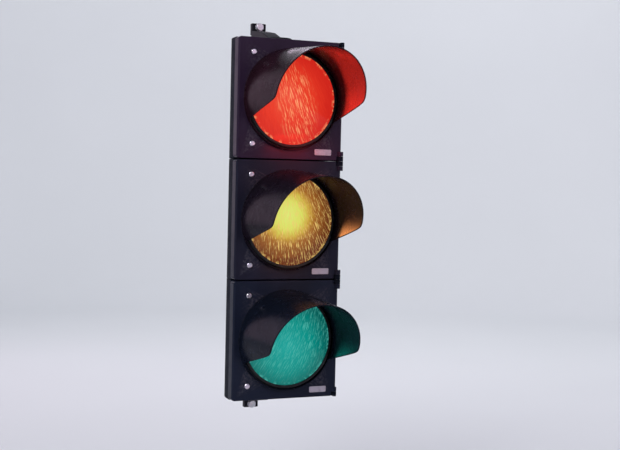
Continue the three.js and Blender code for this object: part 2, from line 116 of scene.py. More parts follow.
BRACKET = Sizes(half=17.5, hub=30, hub_top=8.6, front=208, back=226, top=57, bottom=4)
BRACKET_WALL = 5.5
BRACKET_SHOULDER = 38
POLE_BOLT = Sizes(z=48, radius=5, flats=16, head=6.4, length=35, pitch=1.5)
POLE_WASHER = Sizes(radius=10, height=1.5)
TERMINALS = Sizes(half=40, z=14, deep=26, shallow=18, step=7, pitch=10)

COLOURS = ("red", "amber", "green")
# Height of the middle of each section
LEVEL = {c: sum(corner.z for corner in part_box(f"lens_{c}")) / 2 / MM for c in COLOURS}


# ---- camera, stage and lights

# Places in metres, turns in degrees and the lens in millimetres
CAMERA = Sizes(place=(-1.0342, -2.7319, 0.0927), yaw=23.758, pitch=-2.198, roll=1.317, lens=69.25)


def placed(name, data):
    """A new object in the scene."""
    thing = bpy.data.objects.new(name, data)
    bpy.context.scene.collection.objects.link(thing)
    return thing


def add_camera():
    yaw, pitch, roll = radians(CAMERA.yaw), radians(CAMERA.pitch), radians(CAMERA.roll)
    ahead = Vector((sin(yaw) * cos(pitch), cos(yaw) * cos(pitch), sin(pitch)))
    right = Vector((cos(yaw), -sin(yaw), 0))
    up = right.cross(ahead)
    across = right * cos(roll) + up * sin(roll)
    upward = up * cos(roll) - right * sin(roll)
    data = bpy.data.cameras.new("camera")
    data.lens = CAMERA.lens
    data.sensor_width = 36
    camera = placed("camera", data)
    turn = Matrix((across, upward, -ahead)).transposed().to_4x4()
    camera.matrix_world = Matrix.Translation(CAMERA.place) @ turn
    bpy.context.scene.camera = camera


def softbox(name, place, target, size, power, colour=(1, 1, 1)):
    data = bpy.data.lights.new(name, "AREA")
    data.shape = "RECTANGLE"
    data.size, data.size_y = size
    data.energy = power
    data.color = colour
    lamp = placed(name, data)
    lamp.location = place
    lamp.rotation_euler = (Vector(target) - Vector(place)).to_track_quat("-Z", "Y").to_euler()
    return lamp


# In metres
STAGE = Sizes(floor=-0.72, flat=4.4, curve=1.6, top=4.2, sides=96)


def add_stage():
    """A round floor that sweeps up into a pale wall on every side."""
    floor, flat, curve = STAGE.floor, STAGE.flat, STAGE.curve
    line = [(0.5, floor), (flat, floor)]
    for angle in quarter(20)[1:]:
        line.append((flat + curve * sin(angle), floor + curve * (1 - cos(angle))))
    line.append((flat + curve, STAGE.top))
    sides = STAGE.sides
    around = [2 * pi * k / sides for k in range(sides)]
    points = [(r * cos(angle), r * sin(angle), z) for r, z in line for angle in around]
    faces = [tuple(range(sides))]
    for i in range(len(line) - 1):
        for k in range(sides):
            n = (k + 1) % sides
            faces.append((i * sides + k, (i + 1) * sides + k, (i + 1) * sides + n, i * sides + n))
    mesh = bpy.data.meshes.new("studio_floor")
    mesh.from_pydata(points, [], faces)
    mesh.polygons.foreach_set("use_smooth", [True] * len(faces))
    mesh.materials.append(stage_paint())
    placed("studio_floor", mesh)


def add_lights():
    softbox("left_front_softbox", (-2.6, -2.9, 2.3), (0, -0.2, 0), (2.2, 2.2), 90)
    softbox("left_back_softbox", (-1.75, 2.6, 0.9), (0, -0.2, 0.2), (1.1, 2.4), 9, (1, 0.62, 0.85))
    softbox("front_softbox", (1.5, -3.6, 0.95), (0, -0.2, 0.3), (1.4, 1.3), 5, (1, 0.72, 0.86))
    softbox("right_fill_softbox", (3.0, -3.0, 1.0), (0, -0.2, 0.1), (2.4, 2.4), 16, (1, 0.80, 0.96))
    for x, z in ((0.75, 1.5), (1.1, 0.85)):
        strip = softbox("roof_strip", (x, 2.5, z), (0, -0.3, 0.4), (1.4, 0.05), 2.2, (1, 0.80, 1))
        strip.visible_camera = False
    softbox("backdrop_softbox", (1.2, 0.9, 3.6), (2.4, 5.0, 0.2), (4.0, 1.6), 150)
    world = bpy.data.worlds.new("studio_light")
    world.use_nodes = True
    background = world.node_tree.nodes["Background"]
    background.inputs["Color"].default_value = (0.74, 0.80, 1.0, 1)
    background.inputs["Strength"].default_value = 0.24
    bpy.context.scene.world = world
    bpy.context.scene.view_settings.view_transform = "Standard"


# ---- shader nodes

class Look:
    """One node material: adds nodes, and links any input that is given a socket."""

    def __init__(self, name):
        self.material = bpy.data.materials.new(name)
        self.material.use_nodes = True
        self.tree = self.material.node_tree
        self.shader = self.tree.nodes["Principled BSDF"]
        coords = self.tree.nodes.new("ShaderNodeTexCoord")
        self.place = coords.outputs["Object"]

    def put(self, node, inputs):
        for key, value in inputs.items():
            socket = node.inputs[key]
            if isinstance(value, bpy.types.NodeSocket):
                self.tree.links.new(value, socket)
            else:
                socket.default_value = value

    def node(self, kind, inputs, **settings):
        node = self.tree.nodes.new("ShaderNode" + kind)
        for key, value in settings.items():
            setattr(node, key, value)
        self.put(node, inputs)
        return node

    def math(self, operation, a, b=0.0, clamp=False):
        node = self.node("Math", {0: a, 1: b}, operation=operation, use_clamp=clamp)
        return node.outputs[0]

    def times(self, a, b):
        return self.math("MULTIPLY", a, b)

    def plus(self, a, b, clamp=False):
        return self.math("ADD", a, b, clamp)

    def minus(self, a, b):
        return self.math("SUBTRACT", a, b)

    def noise(self, scale, detail=2.0, roughness=0.5, stretch=None, place=None):
        vector = place or self.place
        if stretch:
            vector = self.node("Mapping", {"Vector": vector, "Scale": stretch}).outputs[0]
        inputs = {"Vector": vector, "Scale": scale, "Detail": detail, "Roughness": roughness}
        return self.node("TexNoise", inputs).outputs["Fac"]

    def ramp(self, factor, stops):
        node = self.node("ValToRGB", {"Fac": factor})
        elements = node.color_ramp.elements
        while len(elements) < len(stops):
            elements.new(0.5)
        for element, (position, colour) in zip(elements, stops):
            element.position = position
            element.color = (*colour, 1)
        return node.outputs["Color"]

    def level(self, factor, low, high, start=0.0, end=1.0):
        inputs = {"Value": factor, "From Min": start, "From Max": end, "To Min": low, "To Max": high}
        return self.node("MapRange", inputs).outputs[0]

    def rise(self, factor, start, end):
        """0 up to start and 1 from end on."""
        return self.level(factor, 0, 1, start, end)

    def mix(self, factor, a, b):
        node = self.node("Mix", {}, data_type="RGBA")
        self.put(node, {0: factor})
        for index, value in ((6, a), (7, b)):
            if isinstance(value, bpy.types.NodeSocket):
                self.tree.links.new(value, node.inputs[index])
            else:
                node.inputs[index].default_value = (*value, 1)
        return node.outputs[2]

    def bump(self, height, strength, distance, normal=None):
        inputs = {"Height": height, "Strength": strength, "Distance": distance}
        if normal:
            inputs["Normal"] = normal
        return self.node("Bump", inputs).outputs[0]

    def worn_edges(self, start=0.53, end=0.62):
        """High on sharp outer edges, broken up by noise."""
        edge = self.node("NewGeometry", {}).outputs["Pointiness"]
        patchy = self.rise(self.noise(160, 4, 0.65), 0.42, 0.62)
        return self.times(self.rise(edge, start, end), patchy)

    def distance(self, a, b):
        squares = [self.times(v, v) for v in (a, b)]
        return self.math("SQRT", self.plus(*squares))

    def finish(self, colour, **inputs):
        """Sets the shader's inputs, with a low line for each space in their names."""
        self.put(self.shader, {"Base Color": colour})
        self.put(self.shader, {key.replace("_", " "): value for key, value in inputs.items()})
        return self.material


def stage_paint():
    look = Look("stage_paint")
    cloud = look.noise(0.7, 2)
    colour = look.mix(cloud, (0.70, 0.715, 0.74), (0.76, 0.775, 0.80))
    return look.finish(colour, Roughness=0.85)


def moulded_plastic(name, dark, light, roughness, grain, specular, wave, speck):
    """Injection-moulded plastic: a fine spark-eroded grain, cloudy flow marks, dust and paler edges."""
    look = Look(name)
    flow = look.noise(14, 4, 0.55, stretch=(1, 1, 0.5))
    colour = look.mix(look.rise(flow, 0.3, 0.7), dark, light)
    specks = look.level(look.noise(900, 2), 0, speck, 0.63, 0.75)
    colour = look.mix(specks, colour, tuple(v * 2.2 + 0.01 for v in light))
    colour = look.mix(look.times(look.worn_edges(), 0.35), colour, (0.12, 0.11, 0.13))
    fine = look.noise(2100, 2, 0.6)
    pits = look.node("TexVoronoi", {"Vector": look.place, "Scale": 950}, feature="SMOOTH_F1")
    depth = look.times(pits.outputs["Distance"], 0.6)
    surface = look.bump(look.plus(fine, depth), grain, 0.0003)
    waves = look.bump(look.noise(22, 2), wave, 0.004, surface)
    patches = look.level(look.noise(38, 5, 0.6), roughness - 0.05, roughness + 0.07, 0.3, 0.7)
    return look.finish(colour, Roughness=patches, Normal=waves, Specular_IOR_Level=specular)


def rubber():
    look = Look("ribbed_rubber")
    bloom = look.noise(60, 5, 0.65)
    colour = look.mix(look.rise(bloom, 0.4, 0.75), (0.006, 0.006, 0.008), (0.022, 0.021, 0.026))
    surface = look.bump(look.noise(1500, 3), 0.25, 0.0004)
    return look.finish(colour, Roughness=look.level(bloom, 0.55, 0.8), Normal=surface,
                       Specular_IOR_Level=0.35)


def plated_steel(name, bright, dull, roughness):
    """Plated metal: spangled tone, brushed scratches and duller patches."""
    look = Look(name)
    spangle = look.node("TexVoronoi", {"Vector": look.place, "Scale": 420}).outputs["Color"]
    tone = look.noise(110, 5, 0.6)
    colour = look.mix(look.rise(tone, 0.3, 0.7), dull, bright)
    colour = look.mix(0.08, colour, spangle)
    scratches = look.noise(300, 3, 0.6, stretch=(1, 1, 9))
    surface = look.bump(scratches, 0.1, 0.0003)
    wear = look.level(tone, roughness - 0.08, roughness + 0.14, 0.25, 0.75)
    return look.finish(colour, Metallic=1.0, Roughness=wear, Normal=surface)


def cast_paint():
    """Powder coat over a sand casting, rubbed to bare metal on its sharpest edges."""
    look = Look("powder_coated_casting")
    orange_peel = look.noise(330, 2, 0.4)
    sand = look.noise(120, 4, 0.6)
    colour = look.mix(look.rise(sand, 0.3, 0.7), (0.006, 0.006, 0.010), (0.014, 0.013, 0.019))
    wear = look.worn_edges(0.56, 0.66)
    colour = look.mix(wear, colour, (0.30, 0.29, 0.31))
    height = look.plus(orange_peel, look.times(sand, 0.7))
    surface = look.bump(height, 0.22, 0.0006)
    return look.finish(colour, Metallic=look.times(wear, 0.8),
                       Roughness=look.level(sand, 0.34, 0.52), Normal=surface, Specular_IOR_Level=0.1)


def reflector_metal():
    look = Look("spun_aluminium")
    rings = look.noise(700, 2, stretch=(1, 6, 1))
    haze = look.noise(35, 4)
    colour = look.mix(haze, (0.78, 0.79, 0.81), (0.90, 0.90, 0.91))
    return look.finish(colour, Metallic=1.0, Roughness=look.level(haze, 0.1, 0.3),
                       Normal=look.bump(rings, 0.08, 0.0003))


def cream_plastic():
    look = Look("cream_bakelite")
    cloud = look.noise(45, 4, 0.6)
    colour = look.mix(cloud, (0.62, 0.56, 0.44), (0.74, 0.69, 0.57))
    colour = look.mix(look.level(look.noise(260, 4), 0, 0.3, 0.58, 0.8), colour, (0.36, 0.30, 0.21))
    return look.finish(colour, Roughness=look.level(cloud, 0.38, 0.55),
                       Normal=look.bump(look.noise(900, 2), 0.12, 0.0003))


def lamp_glass():
    look = Look("clear_lamp_glass")
    smoke = look.noise(70, 4)
    colour = look.mix(look.rise(smoke, 0.4, 0.8), (0.98, 0.97, 0.94), (0.80, 0.78, 0.72))
    return look.finish(colour, Roughness=look.level(smoke, 0.03, 0.12), IOR=1.47,
                       Transmission_Weight=0.9)


def badge_metal():
    look = Look("brushed_badge")
    brush = look.noise(320, 3, 0.6, stretch=(0.4, 1, 9))
    colour = look.mix(brush, (0.34, 0.31, 0.37), (0.62, 0.57, 0.64))
    wear = look.noise(120, 5)
    colour = look.mix(look.level(wear, 0, 0.5, 0.55, 0.8), colour, (0.16, 0.13, 0.18))
    return look.finish(colour, Metallic=0.55, Roughness=look.level(wear, 0.32, 0.5),
                       Normal=look.bump(brush, 0.15, 0.0002))


# Each lit lens. body: colours from the hot spot at centre to the rim. lean and fan: how its streaks slant and
# spread. cut: the noise at which a streak starts and is full. zone: where the streaks show, as x, z,
# half width, half height and tilt. Lengths are parts of the visible radius.
LENS_LOOKS = {
    "red": {
        "body": [(0.0, (0.84, 0.070, 0.030)), (0.5, (0.78, 0.040, 0.018)), (1.0, (0.62, 0.020, 0.012))],
        "streak": (1.0, 0.40, 0.17), "centre": (-0.12, -0.02), "lean": 0.25, "fan": 0.35,
        "zone": (0.04, -0.10, 0.55, 1.0, 0.16), "density": 36, "cut": (0.50, 0.62), "strength": 1.0,
    },
    "amber": {
        "body": [(0.0, (0.70, 0.78, 0.17)), (0.32, (0.68, 0.70, 0.12)), (0.50, (0.58, 0.36, 0.05)),
                 (0.64, (0.34, 0.12, 0.022)), (1.0, (0.13, 0.028, 0.008))],
        "streak": (0.84, 0.58, 0.17), "centre": (-0.10, 0.12), "lean": 0.12, "fan": 0.55,
        "zone": (0.08, 0.12, 1.35, 1.5, 0.0), "density": 46, "cut": (0.51, 0.63), "strength": 1.0,
    },
    "green": {
        "body": [(0.0, (0.008, 0.37, 0.33)), (0.55, (0.002, 0.28, 0.24)), (1.0, (0.001, 0.11, 0.095))],
        "streak": (0.09, 0.52, 0.44), "centre": (-0.05, -0.12), "lean": -0.35, "fan": 0.25,
        "zone": (0.0, 0.20, 1.4, 1.25, 0.0), "density": 48, "cut": (0.50, 0.64), "strength": 0.92,
    },
}


def lens_polycarbonate(colour_name):
    """A lit, tinted lens. Its long prisms show as bright broken streaks."""
    values = LENS_LOOKS[colour_name]
    look = Look(f"lens_{colour_name}_polycarbonate")
    radius = GASKET.lip * MM
    centre = (0, 0, LEVEL[colour_name] * MM)
    local = look.node("VectorMath", {0: look.place, 1: centre}, operation="SUBTRACT").outputs[0]
    local = look.node("VectorMath", {0: local, 1: (1 / radius,) * 3}, operation="MULTIPLY").outputs[0]
    split = look.node("SeparateXYZ", {0: local})
    x, z = split.outputs[0], split.outputs[2]
    spread = look.plus(look.times(z, -values["fan"]), 1.25)
    across = look.plus(look.math("DIVIDE", x, spread), look.times(z, values["lean"]))
    run = look.node("CombineXYZ", {0: across, 1: look.times(z, 0.10), 2: 0.0}).outputs[0]
    strokes = look.noise(values["density"], 3, 0.55, place=run)
    hairs = look.noise(values["density"] * 2.6, 2, 0.5, place=run)
    low, high = values["cut"]
    blend = look.plus(look.times(strokes, 0.7), look.times(hairs, 0.3))
    streak = look.rise(blend, low, high)
    cx, cz = values["centre"]
    distance = look.distance(look.minus(x, cx), look.minus(z, cz))
    wander = look.times(look.minus(strokes, 0.5), 0.5)
    body = look.ramp(look.plus(distance, wander, clamp=True), values["body"])
    zone_x, zone_z, half_width, half_height, tilt = values["zone"]
    shifted = look.plus(look.minus(x, zone_x), look.times(z, tilt))
    u = look.math("DIVIDE", shifted, half_width)
    v = look.math("DIVIDE", look.minus(z, zone_z), half_height)
    fade = look.level(look.distance(u, v), 1, 0, 0.45, 1.0)
    colour = look.mix(look.times(streak, fade), body, values["streak"])
    rim = look.rise(look.distance(x, z), 0.93, 0.99)
    edge = look.times(rim, look.level(look.noise(14, 2, place=local), 0, 0.6, 0.52, 0.6))
    colour = look.mix(edge, colour, values["streak"])
    base = look.mix(0.9, colour, (0.0, 0.0, 0.0))
    surface = look.bump(look.plus(strokes, hairs), 0.12, 0.0008)
    return look.finish(base, Roughness=look.level(hairs, 0.1, 0.24), Normal=surface,
                       Specular_IOR_Level=0.25, Emission_Color=colour, Emission_Strength=values["strength"])


# Painted light: the near-black door and visor mouldings are tinted plum at the top of the head and navy at
# its foot. This paints the red lens's glow and the cool sky light into their colour, so each section gets a
# differently lit copy of one moulding.
PAINTED_LIGHT_TINTS = {
    "door": {"red": (0.022, 0.011, 0.028), "amber": (0.011, 0.011, 0.023), "green": (0.008, 0.011, 0.024)},
    "visor": {"red": (0.016, 0.005, 0.009), "amber": (0.009, 0.006, 0.011), "green": (0.005, 0.007, 0.014)},
}
FINISHES = {
    "housing": {"roughness": 0.46, "grain": 0.24, "specular": 0.02, "wave": 0.05, "speck": 0.3},
    "door": {"roughness": 0.32, "grain": 0.14, "specular": 0.12, "wave": 0.03, "speck": 0.2},
    "visor": {"roughness": 0.24, "grain": 0.05, "specular": 0.035, "wave": 0.01, "speck": 0.1},
}
PALER = 1.45
PAINTS = {
    "housing": moulded_plastic(
        "housing_moulding", (0.005, 0.007, 0.014), (0.008, 0.011, 0.020), **FINISHES["housing"]),
    "rubber": rubber(),
    "steel": plated_steel("zinc_plated_steel", (0.78, 0.76, 0.80), (0.50, 0.48, 0.53), 0.32),
    "stud": plated_steel("polished_stud_steel", (0.90, 0.86, 0.95), (0.66, 0.62, 0.72), 0.26),
    "casting": cast_paint(),
    "reflector": reflector_metal(),
    "cream": cream_plastic(),
    "glass": lamp_glass(),
    "badge": badge_metal(),
    "brass": plated_steel("nickel_brass", (0.86, 0.72, 0.42), (0.55, 0.43, 0.22), 0.3),
}
# The door and visor paints of each section take their painted light tint from this table
for colour in COLOURS:
    for part, tints in PAINTED_LIGHT_TINTS.items():
        light = tuple(PALER * v for v in tints[colour])
        name = f"{part}_{colour}"
        PAINTS[name] = moulded_plastic(f"{name}_moulding", tints[colour], light, **FINISHES[part])
    PAINTS[f"lens_{colour}"] = lens_polycarbonate(colour)


# ---- outlines and meshes

def filleted(corners, steps=6):
    """An outline from corners (u, v) or (u, v, fillet radius)."""
    points = []
    count = len(corners)
    for i, corner in enumerate(corners):
        radius = corner[2] if len(corner) > 2 else 0
        here = Vector(corner[:2])
        if not radius:
            points.append(here)
            continue
        back = (Vector(corners[i - 1][:2]) - here).normalized()
        ahead = (Vector(corners[(i + 1) % count][:2]) - here).normalized()
        half = back.angle(ahead) / 2
        centre = here + (back + ahead).normalized() * radius / sin(half)
        first = here + back * radius / math.tan(half) - centre
        last = here + ahead * radius / math.tan(half) - centre
        sweep = first.angle_signed(last)
        for k in range(steps + 1):
            angle = atan2(first.y, first.x) - sweep * k / steps
            points.append(centre + Vector((cos(angle), sin(angle))) * radius)
    return points


def quarter(steps):
    """Even angles from 0 to 90 degrees."""
    return [k / steps * pi / 2 for k in range(steps + 1)]


def rectangle(u0, u1, v0, v1, radius=0.0):
    return [(u0, v0, radius), (u1, v0, radius), (u1, v1, radius), (u0, v1, radius)]


def hexagon(flats, u=0.0, v=0.0, turn=0.0):
    radius = flats / sqrt(3)
    angles = [pi / 3 * i + turn for i in range(6)]
    return [Vector((u + radius * cos(a), v + radius * sin(a))) for a in angles]


def inset(points, distance):
    count = len(points)
    area = sum(points[i - 1].x * points[i].y - points[i].x * points[i - 1].y for i in range(count))
    side = distance if area > 0 else -distance
    result = []
    for i, here in enumerate(points):
        before = (here - points[i - 1]).normalized()
        after = (points[(i + 1) % count] - here).normalized()
        n0 = Vector((-before.y, before.x))
        n1 = Vector((-after.y, after.x))
        result.append(here + (n0 + n1) * side / (1 + n0.dot(n1)))
    return result


def as_mesh(form):
    mesh = bpy.data.meshes.new("form")
    form.to_mesh(mesh)
    form.free()
    return mesh


def mesh_from(points, faces):
    form = bmesh.new()
    verts = [form.verts.new(p) for p in points]
    for face in faces:
        form.faces.new([verts[i] for i in face])
    bmesh.ops.remove_doubles(form, verts=form.verts, dist=1e-5)
    bmesh.ops.recalc_face_normals(form, faces=form.faces)
    return as_mesh(form)


def loft(rings, looped=False):
    """Skins rings of equal length. The first and last ring are capped, or joined when looped."""
    count = len(rings[0])
    points = [p for ring in rings for p in ring]
    faces = []
    pairs = len(rings) if looped else len(rings) - 1
    for i in range(pairs):
        a, b = i * count, (i + 1) % len(rings) * count
        for k in range(count):
            n = (k + 1) % count
            faces.append((a + k, a + n, b + n, b + k))
    if not looped:
        faces.append(tuple(range(count)))
        faces.append(tuple(range(len(points) - count, len(points))))
    return mesh_from(points, faces)


AXES = {
    "X": lambda u, v, w: (w, u, v),
    "Y": lambda u, v, w: (u, w, v),
    "Z": lambda u, v, w: (u, v, w),
}


def slab(outline, low, high, axis, edge_low=0.0, edge_high=0.0, steps=4):
    """An outline raised along an axis, with rounded edges at its two ends."""
    points = [Vector(p[:2]) for p in outline]
    place = AXES[axis]
    rings = []
    for edge, start, sense in ((edge_low, low, 1), (edge_high, high, -1)):
        angles = quarter(steps) if edge else [pi / 2]
        group = [(inset(points, edge * (1 - sin(a))), start + sense * edge * (1 - cos(a))) for a in angles]
        rings += group if sense > 0 else group[::-1]
    return loft([[place(p.x, p.y, w) for p in ring] for ring, w in rings])


def plate(sides, fillet, low, high, edge_low=0.0, edge_high=0.0):
    """A filleted rectangle (left, right, bottom, top) raised in depth."""
    return slab(filleted(rectangle(*sides, fillet)), low, high, "Y", edge_low, edge_high)


def turned(profile, sides=64, axis="Y", centre=(0.0, 0.0), steps=4):
    """A closed profile of (radius, along, fillet) corners, turned round an axis."""
    line = filleted(profile, steps)
    place = AXES[axis]
    cu, cv = centre
    around = [2 * pi * i / sides for i in range(sides)]
    form = bmesh.new()
    rings = []
    for r, w in line:
        if r < 1e-6:
            rings.append([form.verts.new(place(cu, cv, w))] * sides)
        else:
            rings.append([form.verts.new(place(cu + r * cos(a), cv + r * sin(a), w)) for a in around])
    for i, ring in enumerate(rings):
        after = rings[(i + 1) % len(rings)]
        if ring[0] is ring[1] and after[0] is after[1]:
            continue
        for k in range(sides):
            n = (k + 1) % sides
            form.faces.new(list(dict.fromkeys((ring[k], ring[n], after[n], after[k]))))
    bmesh.ops.recalc_face_normals(form, faces=form.faces)
    return as_mesh(form)


def rod(radius, low, high, axis, centre=(0.0, 0.0), edge=0.0, sides=32, inner=0.0):
    if inner:
        corners = [(inner, low, edge), (radius, low, edge), (radius, high, edge), (inner, high, edge)]
    else:
        corners = [(0, low), (radius, low, edge), (radius, high, edge), (0, high)]
    return turned(corners, sides, axis, centre)


def block(x0, x1, y0, y1, z0, z1, edge=0.0):
    return slab(filleted(rectangle(x0, x1, y0, y1, edge * 1.05), 3), z0, z1, "Z", edge, edge, 3)


def moved(mesh, x, z=0.0):
    copy = mesh.copy()
    copy.transform(Matrix.Translation((x, 0, z)))
    return copy


def upside_down(mesh):
    copy = mesh.copy()
    copy.transform(Matrix.Rotation(pi, 4, "Y"))
    return copy


def formed(base, add=(), cut=(), meet=()):
    """The base joined with some meshes, cut by others and kept only inside the last ones."""
    thing = placed("form", base)
    tools = []
    for operation, meshes in (("UNION", add), ("DIFFERENCE", cut), ("INTERSECT", meet)):
        for mesh in meshes:
            tools.append(placed("tool", mesh))
            modifier = thing.modifiers.new("join", "BOOLEAN")
            modifier.operation = operation
            modifier.solver = "MANIFOLD"
            modifier.object = tools[-1]
    bpy.context.view_layer.update()
    graph = bpy.context.evaluated_depsgraph_get()
    result = bpy.data.meshes.new_from_object(thing.evaluated_get(graph))
    for item in [thing, *tools]:
        bpy.data.objects.remove(item)
    return result


def gathered(meshes):
    """Separate solids in one mesh."""
    form = bmesh.new()
    for mesh in meshes:
        form.from_mesh(mesh)
    return as_mesh(form)


def piece(name, mesh, paint, body, slot, replaces, level, sharp=32):
    """A finished piece in the row frame, in metres."""
    mesh = mesh.copy()
    mesh.name = name
    mesh.transform(Matrix.Scale(MM, 4) @ Matrix.Translation((0, -POLE_DEPTH, level)))
    mesh.materials.clear()
    mesh.materials.append(PAINTS[paint])
    mesh.polygons.foreach_set("use_smooth", [True] * len(mesh.polygons))
    mesh.set_sharp_from_angle(angle=radians(sharp))
    thing = placed(name, mesh)
    normals = thing.modifiers.new("flat_face_normals", "WEIGHTED_NORMAL")
    normals.mode = "FACE_AREA"
    normals.keep_sharp = True
    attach(thing, body)
    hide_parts(*replaces)


def span(side, inner, outer):
    return (inner, outer) if side > 0 else (-outer, -inner)


def section_ends(colour):
    """Upper and lower end of a section, with the radius of the hinge barrel there."""
    upper = END_RADIUS if colour == "red" else JUNCTION_RADIUS
    lower = END_RADIUS if colour == "green" else JUNCTION_RADIUS
    return ((1, "upper", upper), (-1, "lower", lower))


# ---- housing

def housing_outline(depth_in, front):
    """Half-round backed plan of the housing, moved in by a wall thickness."""
    rx, ry = (semi - depth_in for semi in HOUSING_CORNER)
    corner = HOUSING.half - HOUSING_CORNER[0]
    rim = HOUSING.rim_half - depth_in
    half = HOUSING.half - depth_in
    bend = HOUSING.bend
    points = filleted([(-rim, front, 1.8), (rim, front, 1.8), (half, bend), (-half, bend)])
    right = [Vector((corner + rx * cos(a), bend + ry * sin(a))) for a in quarter(20)]
    return points[:-2] + right + [Vector((-p.x, p.y)) for p in right[::-1]]


def rim_opening():
    kx, kz = KEY_PLATE
    left, right, z = RIM.left, RIM.right, RIM.z
    corners = [
        (left, -kz, 6), (kx, -kz, 4), (kx, -z, 4), (right, -z, 9),
        (right, z, 9), (kx, z, 4), (kx, kz, 4), (left, kz, 6),
    ]
    return slab(filleted(corners), HOUSING.front - 1, RIM.back + 1, "Y")


def keyhole_tools(side):
    z = side * LATCH.z
    low, high = HOUSING.front - 1, RIM.back + 1
    reach = LATCH.wing_length / 2 + 1.8
    width = LATCH.wing / 2 + 1
    x = LATCH.x
    slot = plate((x - reach, x + reach, z - width, z + width), 1.5, low, high)
    return [rod(LATCH.shank + 1.2, low, high, "Y", (x, z)), slot]


def hinge_arm(side, radius):
    z0, z1 = span(side, KNUCKLE.arm_start, KNUCKLE.arm_end)
    plan = filleted([
        (ARM_LEFT, HINGE.y), (HINGE.x + radius, HINGE.y), (HINGE.x + radius, 36, 3),
        (HINGE.x - 1, HOUSING.bend + 2, 2), (ARM_LEFT, HOUSING.bend + 2, 1),
    ])
    return slab(plan, z0, z1, "Z", 0.4, 0.4, 2), rod(radius, z0, z1, "Z", HINGE_AXIS, 0.9)


def build_housing(colour):
    top, wall = HOUSING.top, HOUSING.wall
    inside = top - wall
    shell = slab(housing_outline(0, HOUSING.front), -top, top, "Z", 1.7, 1.7)
    cavity = slab(housing_outline(wall, RIM.back), -inside, inside, "Z", 1.2, 1.2, 2)
    add, cut = [], [rim_opening()]
    for side, _, radius in section_ends(colour):
        add += hinge_arm(side, radius)
        b0, b1 = span(side, inside - HUB.boss_height, inside + 1)
        h0, h1 = span(side, inside - HUB.boss_height - 1, top + 1)
        p0, p1 = span(side, KNUCKLE.arm_start - 1, KNUCKLE.arm_end + 1)
        add.append(rod(HUB.boss, b0, b1, "Z", HUB_CENTRE, 0.8, 64))
        cut.append(rod(HUB.bore, h0, h1, "Z", HUB_CENTRE, 0, 64))
        cut.append(rod(HINGE.bore, p0, p1, "Z", HINGE_AXIS))
        cut += keyhole_tools(side)
    if colour != "green":
        # The back wall of the green section is kept free for the terminal block
        back, reach = HOUSING.back, inside - RIB.end
        rib = block(-RIB.half, RIB.half, back - wall - RIB.depth, back - 1, -reach, reach)
        add += [moved(rib, x) for x in (-RIB.x, RIB.x)]
    return formed(formed(shell, cut=[cavity]), add=add, cut=cut)


# ---- door, seal, badge, hinge pins, latches

def corner_tool(side, radius, length):
    """What is cut away to round one front side edge of the door."""
    x = side * (DOOR.half - radius)
    line = [Vector((side * (DOOR.half + 1), -1)), Vector((x, -1))]
    for angle in quarter(8):
        line.append(Vector((x + side * radius * sin(angle), radius * (1 - cos(angle)))))
    line.append(Vector((side * (DOOR.half + 1), radius)))
    return slab(line, -length, length, "Z")


def build_door(colour):
    w, h, r = DOOR.half, DOOR.top, DOOR_EDGES.front + 0.4
    nx, nz, inner = NOTCH.x, NOTCH.z, DOOR_EDGES.notch
    corners = [
        (-w, -h, DOOR.corner), (nx, -h, r), (nx, -nz, inner), (w, -nz, r),
        (w, nz, r), (nx, nz, inner), (nx, h, r), (-w, h, DOOR.corner),
    ]
    shell = slab(filleted(corners), 0, DOOR.depth, "Y", DOOR_EDGES.front, DOOR_EDGES.back, 6)
    ledge = (LEDGE.left, LEDGE.right, -LEDGE.z, LEDGE.z)
    rebate_z = h - DOOR.wall
    rebate = (DOOR.wall - w, REBATE_RIGHT, -rebate_z, rebate_z)
    through, behind = DOOR.plate + 1, DOOR.depth + 1
    openings = [
        plate(ledge, 4, DOOR.plate, behind),
        plate(rebate, 4, LEDGE.depth, behind),
        turned([(0, -1), (LENS_HOLE + 0.01, -1), (LENS_HOLE, through), (0, through)], 128),
    ]
    openings += [corner_tool(side, DOOR_EDGES.side, h + 1) for side in (-1, 1)]
    flange, front, back = LENS_HOLE + LENS_FLANGE.width, LENS_FLANGE.front, LENS_FLANGE.back
    add = [turned([(LENS_HOLE, front, 0), (flange, front, 0), (flange, back, 1), (LENS_HOLE, back, 1)], 128)]
    cut = []
    for side, _, radius in section_ends(colour):
        k0, k1 = span(side, KNUCKLE.inner, KNUCKLE.door_end)
        add.append(rod(radius, k0, k1, "Z", HINGE_AXIS, 0.9))
        cut.append(rod(HINGE.bore, k0 - 2, k1 + 2, "Z", HINGE_AXIS))
        latch = (LATCH.x, side * LATCH.z)
        cut.append(rod(LATCH.shank + 0.5, -1, DOOR.plate + 5, "Y", latch))
        add.append(rod(LATCH.shank + 3, 2, DOOR.plate + 3, "Y", latch, 0.6))
    return formed(formed(shell, cut=openings), add=add, cut=cut)


def build_seal():
    """A flat ring with a groove all round its back."""
    margin = DOOR.wall + SEAL.play
    left, top, right = DOOR.half - margin, DOOR.top - margin, REBATE_RIGHT - SEAL.play
    front, back = LEDGE.depth + GAP, HOUSING.front - GAP

    def sheet(inside, fillet, low, high, *edges):
        return plate((inside - left, right - inside, inside - top, top - inside), fillet, low, high, *edges)

    outer, inner = SEAL.groove
    groove = formed(sheet(outer, 3, back - 1, back + 1), cut=[sheet(inner, 3, back - 2, back + 2)])
    hole = sheet(SEAL.width, 3, front - 1, back + 1)
    return formed(sheet(0, 4, front, back, 0.8, 1.4), cut=[hole, groove])


